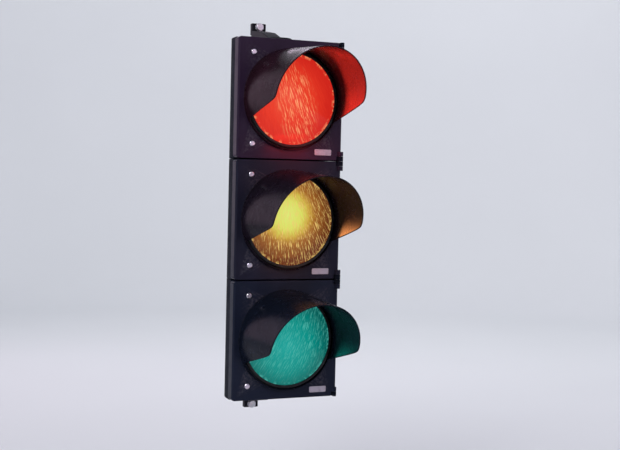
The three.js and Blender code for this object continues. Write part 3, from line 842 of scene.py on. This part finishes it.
def build_badge():
    """A blank plate with a raised border and two drive pins."""
    x, z = BADGE.x, BADGE.z
    w, h, border = BADGE.width / 2, BADGE.height / 2, BADGE.border
    back, front = -GAP, -GAP - BADGE.thickness
    blank = plate((x - w, x + w, z - h, z + h), 2.5, front, back, 0.35)
    window = (x - w + border, x + w - border, z - h + border, z + h - border)
    field = plate(window, 1.6, front - 1, front + 0.3)
    pin = [(0, front + 0.02), (1.3, front + 0.1, 0.2), (1.5, back, 0), (0, back)]
    apart = w - BADGE.pin_inset
    pins = [turned(pin, 20, centre=(x + side * apart, z)) for side in (-1, 1)]
    return formed(formed(blank, cut=[field]), add=pins)


def build_hinge_pin(side):
    z0, z1 = span(side, KNUCKLE.inner + 0.6, KNUCKLE.arm_end)
    return rod(HINGE.pin, z0, z1, "Z", HINGE_AXIS, 0.7)


def build_latch():
    """A slotted quarter-turn stud, with its wing behind the keyhole plate."""
    head, face, shank = LATCH.head, LATCH.face, LATCH.shank
    front = RIM.back + 0.4
    back = front + LATCH.wing
    stud = turned([
        (0, face), (head - 1.4, face, 0.5), (head, face + 1.2, 0.5), (head, -GAP, 0.3),
        (shank, -GAP), (shank, back, 0.5), (0, back),
    ], 40)
    half, width = LATCH.wing_length / 2, LATCH.wing / 2
    wing = plate((-half, half, -width, width), 1.4, front, back, 0.5, 0.5)
    slot = block(-head - 1, head + 1, face - 1, face + 1.3, -0.9, 0.9)
    return formed(stud, add=[wing], cut=[slot])


# ---- visor, gasket, lens, reflector, lamp

def visor_radius(y):
    return VISOR.base + y * VISOR.taper


def visor_edge(angle):
    """Depth of the front edge of the visor at an angle round the lens, 90 degrees being the top."""
    rise = sin(angle)
    tip, tip_z, base, taper = VISOR.tip, VISOR.tip_z, VISOR.base, VISOR.taper
    rim = -(tip - tip_z * VISOR_RIM + base * rise * VISOR_RIM) / (1 + taper * VISOR_RIM * rise)
    lower = (tip_z - tip * VISOR_LOWER - base * rise) / (VISOR_LOWER + taper * max(rise, -1))
    middle, apart = (rim + lower) / 2, (lower - rim) / 2
    edge = middle + sqrt(apart ** 2 + VISOR_TIP_ROUND ** 2)
    collar = -VISOR.collar
    middle, apart = (edge + collar) / 2, (edge - collar) / 2
    return middle - sqrt(apart ** 2 + 1)


def visor_angles():
    """Even steps, closer where the lower edge sweeps back to the collar."""
    upper = [radians(-4 + 188 * i / 90) for i in range(91)]
    sweep = [radians(-4 - 24 * (i / 40)) for i in range(1, 41)]
    left_sweep = [pi - a for a in sweep]
    below = [radians(208 + 124 * i / 40) for i in range(1, 40)]
    return upper + left_sweep + below + [a + 2 * pi for a in sweep[::-1]]


def build_visor():
    angles = visor_angles()
    wall = VISOR.wall
    nose = wall * VISOR_NOSE
    start = -GAP
    edges = [visor_edge(a) for a in angles]
    along = 26
    rings = []
    count = len(angles)

    def skin(i, y, offset):
        r = visor_radius(y) + offset
        return Vector((r * cos(angles[i]), y, r * sin(angles[i])))

    for i in range(count):
        end = edges[i] + nose
        before, after = skin(i - 1, edges[i - 1], 0), skin((i + 1) % count, edges[(i + 1) % count], 0)
        tangent = (after - before).normalized()
        outward = Vector((cos(angles[i]), 0, sin(angles[i])))
        lead = outward.cross(tangent).normalized()
        if lead.y > 0:
            lead = -lead
        ring = []
        for k in range(along + 1):
            y = start + (end - start) * k / along
            bead = 0.0 if k < along - 1 else VISOR_BEAD
            lip = VISOR_LIP.height * max(0.0, 1 - abs(y - VISOR_LIP.depth) / VISOR_LIP.half)
            ring.append(skin(i, y, bead - VISOR_BEAD + lip))
        middle = skin(i, end, -wall / 2)
        for k in range(1, 6):
            turn = k / 6 * pi
            ring.append(middle + outward * cos(turn) * wall / 2 + lead * sin(turn) * nose)
        for k in range(along, -1, -1):
            y = start + (end - start) * k / along
            ring.append(skin(i, y, -wall))
        rings.append(ring)
    return loft(rings, looped=True)


def build_gasket():
    g = GASKET
    return turned([
        (g.inner, -GAP, 0.3), (g.outer, -GAP, 0.4), (g.outer - 0.6, g.step, 0.4),
        (g.outer - 2.2, g.groove, 0.6), (g.outer - 2.6, g.front, 1.2),
        (g.lip, g.front, 0.9), (g.lip, g.middle, 0.2),
        (g.seat, g.middle, 0.2), (g.seat, g.rear, 0.2), (g.inner, g.rear, 0.2),
    ], 144)


def lens_relief(x, z, values):
    """Depth of the long prisms on the lens, fanned and leaning like its streaks."""
    radius = GASKET.lip
    u, v = x / radius, z / radius
    across = u / (1.25 - values["fan"] * v) + values["lean"] * v
    rim = max(0.0, 1 - (hypot(u, v) / 0.97) ** 10)
    wave = abs(sin(across * 46 + 0.7 * sin(v * 5 + across * 9)))
    breaks = 0.55 + 0.45 * sin(v * 21 + across * 31)
    return 0.42 * wave * breaks * rim


def build_lens(colour):
    values = LENS_LOOKS[colour]
    n = 112
    visible = GASKET.lip - 0.4
    inner = GASKET.inner - 1

    def disc(i, k, radius):
        u, v = 2 * i / n - 1, 2 * k / n - 1
        return u * sqrt(1 - v * v / 2) * radius, v * sqrt(1 - u * u / 2) * radius

    def dome(x, z, radius, relief):
        rise = LENS.sagitta * (1 - (x * x + z * z) / radius ** 2)
        return LENS.front - rise + (lens_relief(x, z, values) if relief else LENS.thickness)

    points, faces = [], []
    for radius, relief in ((visible, True), (inner, False)):
        base = len(points)
        for i in range(n + 1):
            for k in range(n + 1):
                x, z = disc(i, k, radius)
                points.append((x, dome(x, z, radius, relief), z))
        for i in range(n):
            for k in range(n):
                a = base + i * (n + 1) + k
                faces.append((a, a + 1, a + n + 2, a + n + 1))
    loop = [(i, 0) for i in range(n)] + [(n, k) for k in range(n)]
    loop += [(i, n) for i in range(n, 0, -1)] + [(0, k) for k in range(n, 0, -1)]
    front_loop = [i * (n + 1) + k for i, k in loop]
    back_loop = [index + (n + 1) ** 2 for index in front_loop]
    flange = []
    edge, front, back = LENS.radius, LENS.front, LENS.back
    for radius, y in ((edge, front), (edge, back), (inner, back)):
        start = len(points)
        for i, k in loop:
            x, z = disc(i, k, 1)
            points.append((x * radius, y, z * radius))
        flange.append(list(range(start, start + len(loop))))
    chain = [front_loop, *flange, back_loop]
    for a, b in zip(chain, chain[1:]):
        for k in range(len(loop)):
            m = (k + 1) % len(loop)
            faces.append((a[k], a[m], b[m], b[k]))
    return mesh_from(points, faces)


def build_reflector():
    r = REFLECTOR
    vertex = r.front + r.mouth ** 2 / (4 * r.focus)
    steps = 18
    inner = []
    for i in range(steps + 1):
        radius = r.mouth + i / steps * (r.neck - r.mouth)
        inner.append((radius, vertex - radius ** 2 / (4 * r.focus)))
    outer = [(radius + r.wall * 0.7, y + r.wall) for radius, y in inner][::-1]
    return turned([
        *inner, (r.neck, r.neck_end, 0.4), (r.neck + r.wall, r.neck_end, 0.4), *outer,
        (r.flange, r.front + r.wall, 0.4), (r.flange, r.front, 0.4),
    ], 96)


def build_lamp_holder():
    h, bore, floor = HOLDER, SOCKET.radius, SOCKET.depth
    seat = REFLECTOR.neck_end + GAP
    body = turned([
        (0, h.back), (0, floor), (bore, floor), (bore, h.front, 0.8),
        (h.radius, h.front, 0.8), (h.radius, seat, 0.5),
        (h.flange, seat, 0.8), (h.flange, h.flange_back, 0.8),
        (h.cup, h.flange_back, 1.2), (h.cup - 1, h.back, 2.5), (0, h.back),
    ], 64)
    grip = block(-h.flange, h.flange, floor + 1, h.back - 1, -3, 3, 1.2)
    contacts = [rod(3.4, h.back - 2.2, h.back + 1, "Y", (s * 10, 9)) for s in (-1, 1)]
    knurl = []
    for i in range(KNURLS):
        angle = 2 * pi * i / KNURLS
        place = (h.cup * cos(angle), h.cup * sin(angle))
        knurl.append(rod(1.1, h.flange_back + 2, h.back - 3, "Y", place, 0, 10))
    return formed(body, add=[grip], cut=contacts + knurl)


def build_lamp():
    steps = 20
    glass = []
    for i in range(steps + 1):
        angle = i / steps * pi * 0.82
        glass.append((LAMP.glass * sin(angle), LAMP.centre - LAMP.glass * cos(angle)))
    neck, foot = LAMP.neck, LAMP.base
    base, end = HOLDER.front - 2, SOCKET.depth - GAP
    bulb = turned([*glass, (neck, base, 1), (neck, base + 2), (0, base + 2)], 48)
    cap = turned([
        (0, base + 0.5), (neck + 0.6, base + 0.5, 0.4), (foot, base + 2, 0.6),
        (foot, end - 3, 1), (6, end - 1, 0.5), (5, end, 0.4), (0, end),
    ], 48)
    pins = [rod(1.2, *span(side, foot - 2, foot + 0.2), "X", (base + 14, 0)) for side in (1, -1)]
    return bulb, formed(cap, add=pins)


# ---- couplings, brackets and wiring

def thread(radius, low, high, pitch=2.0, depth=0.7):
    """A tube end with a turned thread form, as closed rings."""
    corners = [(HUB.cable, low, 0.4), (radius - depth, low, 0.4)]
    z = low + 1
    while z < high - pitch:
        corners += [(radius, z + pitch / 2), (radius - depth, z + pitch)]
        z += pitch
    corners += [(radius, high), (HUB.cable, high)]
    return turned(corners, 64, "Z", HUB_CENTRE)


def flange_slots(low, high):
    """Tools for the four spanner slots round a hub flange."""
    angles = [pi / 4 + i * pi / 2 for i in range(4)]
    places = [(HUB.flange * cos(a), HUB.y + HUB.flange * sin(a)) for a in angles]
    return [rod(2.6, low, high, "Z", place) for place in places]


def build_nipple():
    top = (SECTION_PITCH - 2 * HOUSING.top) / 2 + HOUSING.wall + HUB.boss_height + GAP
    tube = thread(HUB.tube, -NIPPLE_REACH, top + 1)
    flange = rod(HUB.flange, top, top + 4, "Z", HUB_CENTRE, 0.9, 64, HUB.cable + 0.5)
    return formed(tube, add=[flange], cut=flange_slots(top - 1, top + 5))


def build_ring_nut():
    top = -((SECTION_PITCH - 2 * HOUSING.top) / 2 + HOUSING.wall + HUB.boss_height + GAP)
    radius = HUB.flange
    prism = slab(hexagon(radius * sqrt(3), *HUB_CENTRE), top - 6, top, "Z")
    cone = turned([
        (0, top - 6), (radius - 3, top - 6, 0.3), (radius - 0.4, top - 4.4), (radius - 0.4, top), (0, top),
    ], 64, "Z", HUB_CENTRE)
    hole = rod(HUB.tube + GAP, top - 8, top + 2, "Z", HUB_CENTRE, 0, 64)
    return formed(prism, meet=[cone], cut=[hole])


def build_bracket():
    b = BRACKET
    start = GAP * 2 + ROSETTE.height
    side = filleted([
        (HUB.y, start), (HUB.y + b.hub + 4, start, 12), (b.front - 6, b.bottom, 12),
        (b.back, b.bottom), (b.back, b.top, 0.5), (b.front, b.top, 2.5),
        (b.front, BRACKET_SHOULDER, 1), (b.front - 9, BRACKET_SHOULDER, 1.5),
        (184, 36, 12), (145, 29, 14), (123, 20.5, 10), (95, b.hub_top, 10), (HUB.y, b.hub_top),
    ], 5)
    arm = slab(side, -b.half, b.half, "X", 1.6, 1.6)
    hub = turned([
        (0, start), (b.hub - 0.2, start, 0.6), (b.hub, start + 2), (b.hub - 1.2, b.hub_top, 1.6),
        (0, b.hub_top),
    ], 72, "Z", HUB_CENTRE)
    half = b.half - BRACKET_WALL
    near, far = HUB.y + 22, b.front - BRACKET_WALL
    inner = filleted([
        (near, -5), (far, -5), (far, 32, 3), (184, 29, 8), (145, 22, 8), (123, 13.5, 6), (near, 5, 1),
    ])
    channel = slab(inner, -half, half, "X", 2, 2)
    rib = block(-1.6, 1.6, 122, 203, 4.5, 30, 0.6)
    rib = formed(rib, meet=[slab(inset(side, 0.5), -3, 3, "X")])
    saddle = rod(POLE_RADIUS + GAP, -10, b.top + 10, "Z", (0, POLE_DEPTH), 0, 128)
    grooves = [block(-b.half - 1, b.half + 1, 214, 229, z - 1.2, z + 1.2) for z in (16, 28)]
    bolt_hole = rod(POLE_BOLT.radius + 0.5, b.front - 9, POLE_DEPTH, "Y", (0, POLE_BOLT.z))
    body = formed(arm, add=[hub], cut=[channel])
    hub_hole = rod(HUB.bore, -1, b.hub_top - 2.4, "Z", HUB_CENTRE, 0, 64)
    return formed(body, add=[rib], cut=[saddle, bolt_hole, hub_hole, *grooves])


def build_rosette():
    """A serrated washer that grips between the bracket and the head."""
    low, high = GAP, GAP + ROSETTE.height
    hole, rim = HUB.bore + 0.3, ROSETTE.radius
    teeth = ROSETTE.teeth
    rings = []
    for i in range(teeth * 2):
        angle = pi * i / teeth
        c, s = cos(angle), sin(angle)
        lift = ROSETTE.tooth if i % 2 else 0.0
        ring = [
            (hole, low + lift), (rim - 0.3, low + lift), (rim, low + 0.7),
            (rim, high - 0.6), (rim - 0.3, high - lift), (hole, high - lift),
        ]
        rings.append([(r * c, HUB.y + r * s, z) for r, z in ring])
    return loft(rings, looped=True)


def build_hub_bolt():
    under = -(HOUSING.wall + HUB.boss_height + GAP)
    tube = rod(HUB.tube, under - 1, BRACKET.hub_top - 2.8, "Z", HUB_CENTRE, 0.8, 64, HUB.cable)
    flange = rod(HUB.flange, under - 4, under, "Z", HUB_CENTRE, 0.9, 64, HUB.cable + 0.3)
    return formed(flange, add=[tube], cut=flange_slots(under - 5, under + 1))


def build_pole_bolt():
    p = POLE_BOLT
    seat = BRACKET.front - GAP * 2 - POLE_WASHER.height
    top = seat - p.head
    prism = slab(hexagon(p.flats, 0, p.z, pi / 6), top, seat, "Y")
    corner = p.flats / sqrt(3)
    cone = turned([
        (0, top), (corner - 1.6, top, 0.2), (corner, top + 1),
        (corner, seat - 0.4), (corner - 0.4, seat), (0, seat),
    ], 48, centre=(0, p.z))
    core, end = p.radius - 0.2, seat + p.length
    shank = turned([
        (0, seat - 1), (core, seat - 1), (core, end - 2), (p.radius - 1.4, end), (0, end),
    ], 32, centre=(0, p.z))
    threads = []
    y = seat + 12
    while y < end - 3:
        ridge = [(p.radius - 1, y, 0), (p.radius, y + 0.6, 0), (p.radius - 1, y + 1.2, 0)]
        threads.append(turned(ridge, 32, centre=(0, p.z)))
        y += p.pitch
    neck = formed(shank, add=threads)
    return formed(formed(prism, meet=[cone]), add=[neck])


def build_pole_washer():
    back = BRACKET.front - GAP
    front, hole = back - POLE_WASHER.height, POLE_BOLT.radius + 0.5
    return rod(POLE_WASHER.radius, front, back, "Y", (0, POLE_BOLT.z), 0.45, 48, hole)


def build_grommet():
    hole, groove, outer = GROMMET.hole, GROMMET.groove, HUB.cable - GAP
    return turned([
        (hole, -6, 0.8), (outer, -6, 0.8), (outer, -1, 0.3), (groove, -0.6, 0.2),
        (groove, 0.6, 0.2), (outer, 1, 0.2), (outer, 2, 0.3), (hole, 2, 0.8),
    ], 64, "Z", HUB_CENTRE)


def build_terminal_block():
    t = TERMINALS
    back = HOUSING.back - HOUSING.wall - GAP
    face, shelf = back - t.deep, back - t.shallow
    base = block(-t.half, t.half, shelf, back, -t.z, t.z, 0.8)
    ridge = block(-t.half, t.half, face, shelf + 1, -t.step, t.step, 0.6)
    wells, mouths, screws = [], [], []
    x = t.pitch / 2 - t.half
    while x < t.half:
        wells.append(rod(3.0, face - 1, face + 6, "Y", (x, 0), 0, 24))
        for side in (-1, 1):
            z0, z1 = span(side, t.z - 6, t.z + 1)
            mouths.append(rod(2.2, z0, z1, "Z", (x, back - 9), 0, 20))
        profile = [(0, face + 2.6), (2.4, face + 2.6, 0.4), (2.4, face + 6.2), (0, face + 6.2)]
        slot = block(x - 3, x + 3, face, face + 3.6, -0.4, 0.4)
        screws.append(formed(turned(profile, 24, centre=(x, 0)), cut=[slot]))
        x += t.pitch
    x = t.pitch - t.half
    while x < t.half - 1:
        wells.append(block(x - 0.7, x + 0.7, face - 1, face + 3, -t.step - 1, t.step + 1))
        x += t.pitch
    return formed(base, add=[ridge], cut=wells + mouths), gathered(screws)


# ---- assembly

def add_section(colour, shared):
    """One section. A star in the table stands for its colour."""
    z = LEVEL[colour]
    door, unit = f"{colour}_door", f"{colour}_lamp_unit"
    glass, cap = shared["lamp"]
    for name, mesh, paint, body, slot, node, sharp in (
        ("housing_*_shell", build_housing(colour), "housing", "head", "body_black", "housing_*", 32),
        ("door_*_frame", build_door(colour), "door_*", door, "door_black", "door_*", 32),
        ("door_*_seal", shared["seal"], "rubber", door, "rubber_black", "door_seal_*", 32),
        ("visor_*_hood", shared["visor"], "visor_*", door, "visor_black", "visor_*", 50),
        ("lens_*_gasket", shared["gasket"], "rubber", door, "rubber_black", "lens_gasket_*", 32),
        ("lens_*_prismatic", build_lens(colour), "lens_*", door, "lens_*", "lens_*", 60),
        ("reflector_*_bowl", shared["reflector"], "reflector", door, "reflector", "reflector_*", 32),
        ("badge_*_blank", shared["badge"], "badge", door, "badge", "badge_plate_*", 32),
        ("lamp_*_holder", shared["holder"], "cream", unit, "cream_plastic", "lamp_holder_*", 32),
        ("lamp_*_bulb", glass, "glass", unit, "lamp_glass", "lamp_*", 32),
        ("lamp_*_cap", cap, "brass", unit, "steel", "lamp_*", 32),
    ):
        name, paint, slot, node = (text.replace("*", colour) for text in (name, paint, slot, node))
        piece(name, mesh, paint, body, slot, [node], z, sharp)
    for side, label, _ in section_ends(colour):
        piece(f"hinge_pin_{colour}_{label}_rod", build_hinge_pin(side), "steel", "head", "steel",
              [f"hinge_pin_{colour}_{label}"], z)
        stud = moved(shared["latch"], LATCH.x, side * LATCH.z)
        piece(f"latch_{colour}_{label}_stud", stud, "stud", f"{colour}_latch_{label}", "steel",
              [f"latch_{colour}_{label}"], z)


def add_couplings():
    nipple, nut = build_nipple(), build_ring_nut()
    for label, side in (("upper", 1), ("lower", -1)):
        z = side * SECTION_PITCH / 2
        piece(f"coupling_{label}_nipple_cast", nipple, "casting", "head", "bracket_black",
              [f"coupling_nipple_{label}"], z)
        piece(f"coupling_{label}_ring_nut", nut, "steel", "head", "steel", [f"coupling_nut_{label}"], z)


def add_brackets():
    shapes = {
        "bracket": ("arm", build_bracket(), "casting", "brackets", "bracket_black"),
        "rosette": ("toothed", build_rosette(), "steel", "brackets", "steel"),
        "hub_bolt": ("hollow", build_hub_bolt(), "casting", "head", "bracket_black"),
        "pole_bolt": ("hex", build_pole_bolt(), "steel", "brackets", "steel"),
        "pole_washer": ("plain", build_pole_washer(), "steel", "brackets", "steel"),
    }
    for label, side in (("upper", 1), ("lower", -1)):
        z = side * (SECTION_PITCH + HOUSING.top)
        for node, (word, mesh, paint, body, slot) in shapes.items():
            shape = mesh if side > 0 else upside_down(mesh)
            piece(f"{label}_{node}_{word}", shape, paint, body, slot, [f"{label}_{node}"], z)
    piece("cable_entry_grommet", upside_down(build_grommet()), "rubber", "head", "rubber_black",
          ["cable_grommet"], -(SECTION_PITCH + HOUSING.top))


def add_terminals():
    housing, screws = build_terminal_block()
    low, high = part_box("terminal_block")
    z = (low.z + high.z) / 2 / MM
    piece("terminal_block_strip", housing, "cream", "head", "cream_plastic", ["terminal_block"], z)
    piece("terminal_block_screws", screws, "brass", "head", "steel", ["terminal_block"], z)


# The light of each lens: its beam on the inside of its visor, with dip and spread in degrees, and the power
# of what spills below it
GLOWS = {
    "red": {"colour": (1.0, 0.035, 0.02), "power": 0.38, "dip": 11, "spread": 74, "spill": 0.10},
    "amber": {"colour": (1.0, 0.34, 0.10), "power": 0.85, "dip": 25, "spread": 62, "spill": 0.03},
    "green": {"colour": (0.01, 0.75, 0.60), "power": 0.13, "dip": 20, "spread": 66, "spill": 0.0},
}
GLOW_SIZE = 192
GLOW_GAP = 1.5
# Where the light that spills on to the door and the next visor stands, from the middle of its section
SPILL = (15, -66, -104)
SPILL_AIM = (0.05, 0.45, -0.6)
SPILL_SIZE = (0.10, 0.04)


def add_lens_glow(colour):
    values = GLOWS[colour]
    door = frame["bodies"][f"{colour}_door"]
    data = bpy.data.lights.new(f"{colour}_lens_glow", "AREA")
    data.shape = "DISK"
    data.size = GLOW_SIZE * MM
    data.energy = values["power"]
    data.color = values["colour"]
    data.spread = radians(values["spread"])
    glow = placed(f"{colour}_lens_glow", data)
    depth = LENS.front - LENS.sagitta - GLOW_GAP - POLE_DEPTH
    glow.location = (0, depth * MM, LEVEL[colour] * MM)
    glow.rotation_euler = (radians(-90 + values["dip"]), 0, 0)
    glow.visible_camera = False
    glow.parent = door
    if values["spill"]:
        x, y, z = SPILL
        place = Vector((x, y - POLE_DEPTH, z + LEVEL[colour])) * MM
        aim = place + Vector(SPILL_AIM)
        spill = softbox(f"{colour}_lens_spill", place, aim, SPILL_SIZE, values["spill"], values["colour"])
        spill.visible_camera = False
        spill.parent = door


add_camera()
add_stage()
add_lights()
SHARED = {
    "seal": build_seal(),
    "visor": build_visor(),
    "gasket": build_gasket(),
    "reflector": build_reflector(),
    "badge": build_badge(),
    "holder": build_lamp_holder(),
    "lamp": build_lamp(),
    "latch": build_latch(),
}
for colour in COLOURS:
    add_section(colour, SHARED)
    add_lens_glow(colour)
add_couplings()
add_brackets()
add_terminals()
